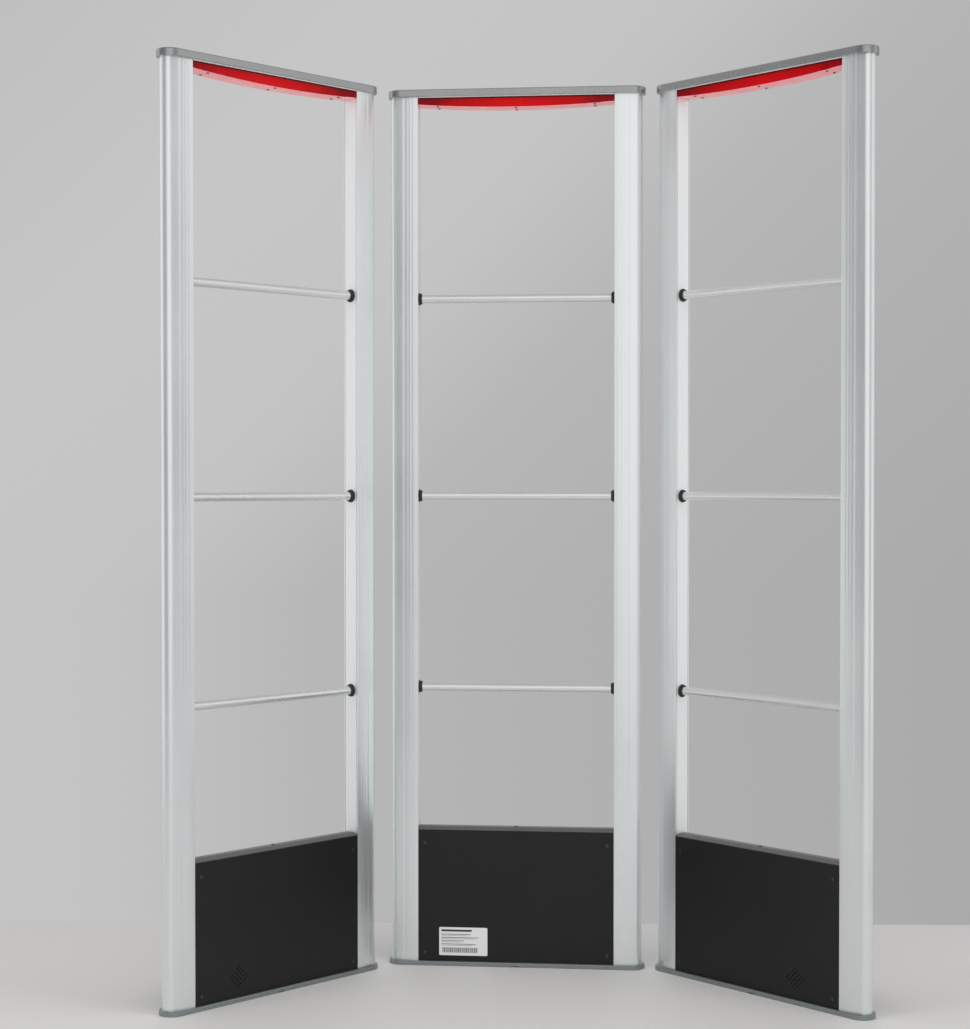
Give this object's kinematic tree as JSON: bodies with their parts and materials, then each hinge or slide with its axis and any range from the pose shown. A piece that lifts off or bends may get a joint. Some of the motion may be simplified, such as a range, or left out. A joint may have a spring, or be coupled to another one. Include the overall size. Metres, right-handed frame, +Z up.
{
  "type": "security gate",
  "caption": "Set of free-standing retail detection pedestals: fluted aluminium posts, crossbars, red alarm lamp and a black electronics box on a flat base.",
  "frame": {"origin": "on the floor, in the middle of the box around the whole set", "axes": "+Z up, +X to the right as the set is met, +Y away from the side it is met from"},
  "size_m": [1.1534, 0.3828, 1.55],
  "materials": {
    "post_aluminium": "satin anodised, fluted",
    "strip_aluminium": "satin anodised, pale",
    "bar_aluminium": "satin anodised tube",
    "cap": "grey satin paint",
    "base_plate": "dark grey satin paint",
    "red_lens": "clear red, gloss",
    "lamp_board": "white coated",
    "chassis_steel": "zinc plated",
    "lid": "brown-grey satin",
    "black_panel": "matte black powder coat",
    "black_screw": "black zinc",
    "dark_screw": "dark plated",
    "steel_screw": "zinc plated",
    "circuit_board": "green solder mask",
    "supply_case": "pressed case",
    "speaker": "paper cone, steel magnet",
    "trimmer": "moulded",
    "rubber": "matt",
    "brass": "turned brass",
    "label": "printed film",
    "loop_copper": "tinned copper strip"
  },
  "bodies": {
    "root": {"left_base": "base_plate", "left_cap": "cap", "left_left_post": "post_aluminium", "left_right_post": "post_aluminium", "left_channel_strips": "strip_aluminium", "left_crossbars": "bar_aluminium", "left_lens": "red_lens", "left_lamp_board": "lamp_board", "left_chassis": "chassis_steel", "left_lid": "lid", "left_back_panel": "black_panel", "left_main_board": "circuit_board", "left_power_supply": "supply_case", "centre_base": "base_plate", "centre_cap": "cap", "centre_left_post": "post_aluminium", "centre_right_post": "post_aluminium", "centre_channel_strips": "strip_aluminium", "centre_crossbars": "bar_aluminium", "centre_lens": "red_lens", "centre_lamp_board": "lamp_board", "centre_chassis": "chassis_steel", "centre_lid": "lid", "centre_back_panel": "black_panel", "centre_main_board": "circuit_board", "centre_power_supply": "supply_case", "right_base": "base_plate", "right_cap": "cap", "right_left_post": "post_aluminium", "right_right_post": "post_aluminium", "right_channel_strips": "strip_aluminium", "right_crossbars": "bar_aluminium", "right_lens": "red_lens", "right_lamp_board": "lamp_board", "right_chassis": "chassis_steel", "right_lid": "lid", "right_back_panel": "black_panel", "right_main_board": "circuit_board", "right_power_supply": "supply_case", "grommets": "rubber", "lamp_screws": "dark_screw", "lid_screws": "dark_screw", "back_panel_screws": "black_screw", "standoffs": "brass", "labels": "label", "antenna_loops": "loop_copper", "frame_screws": "steel_screw"},
    "left_cover": {"left_front_panel": "black_panel", "left_front_panel_screws": "black_screw", "left_speaker": "speaker"},
    "left_trimmer": {"left_trimmer_knob": "trimmer"},
    "centre_cover": {"centre_front_panel": "black_panel", "centre_front_panel_screws": "black_screw", "centre_speaker": "speaker"},
    "centre_trimmer": {"centre_trimmer_knob": "trimmer"},
    "right_cover": {"right_front_panel": "black_panel", "right_front_panel_screws": "black_screw", "right_speaker": "speaker"},
    "right_trimmer": {"right_trimmer_knob": "trimmer"}
  },
  "joints": [
    {"name": "left_cover_slide", "type": "slide", "parent": "root", "child": "left_cover", "axis": [0.7145, -0.6997, 0], "range_m": [0, 0.1]},
    {"name": "centre_cover_slide", "type": "slide", "parent": "root", "child": "centre_cover", "axis": [0.0802, 0.9968, 0], "range_m": [0, 0.1]},
    {"name": "right_cover_slide", "type": "slide", "parent": "root", "child": "right_cover", "axis": [-0.7145, -0.6997, 0], "range_m": [0, 0.1]},
    {"name": "left_trimmer_turn", "type": "hinge", "parent": "root", "child": "left_trimmer", "pos_m": [-0.34395, 0.04505, 0.15], "axis": [0.7145, -0.6997, 0], "range_deg": [-135, 135]},
    {"name": "centre_trimmer_turn", "type": "hinge", "parent": "root", "child": "centre_trimmer", "pos_m": [-0.09465, 0.16061, 0.15], "axis": [0.0802, 0.9968, 0], "range_deg": [-135, 135]},
    {"name": "right_trimmer_turn", "type": "hinge", "parent": "root", "child": "right_trimmer", "pos_m": [0.34395, 0.04505, 0.15], "axis": [-0.7145, -0.6997, 0], "range_deg": [-135, 135]}
  ]
}
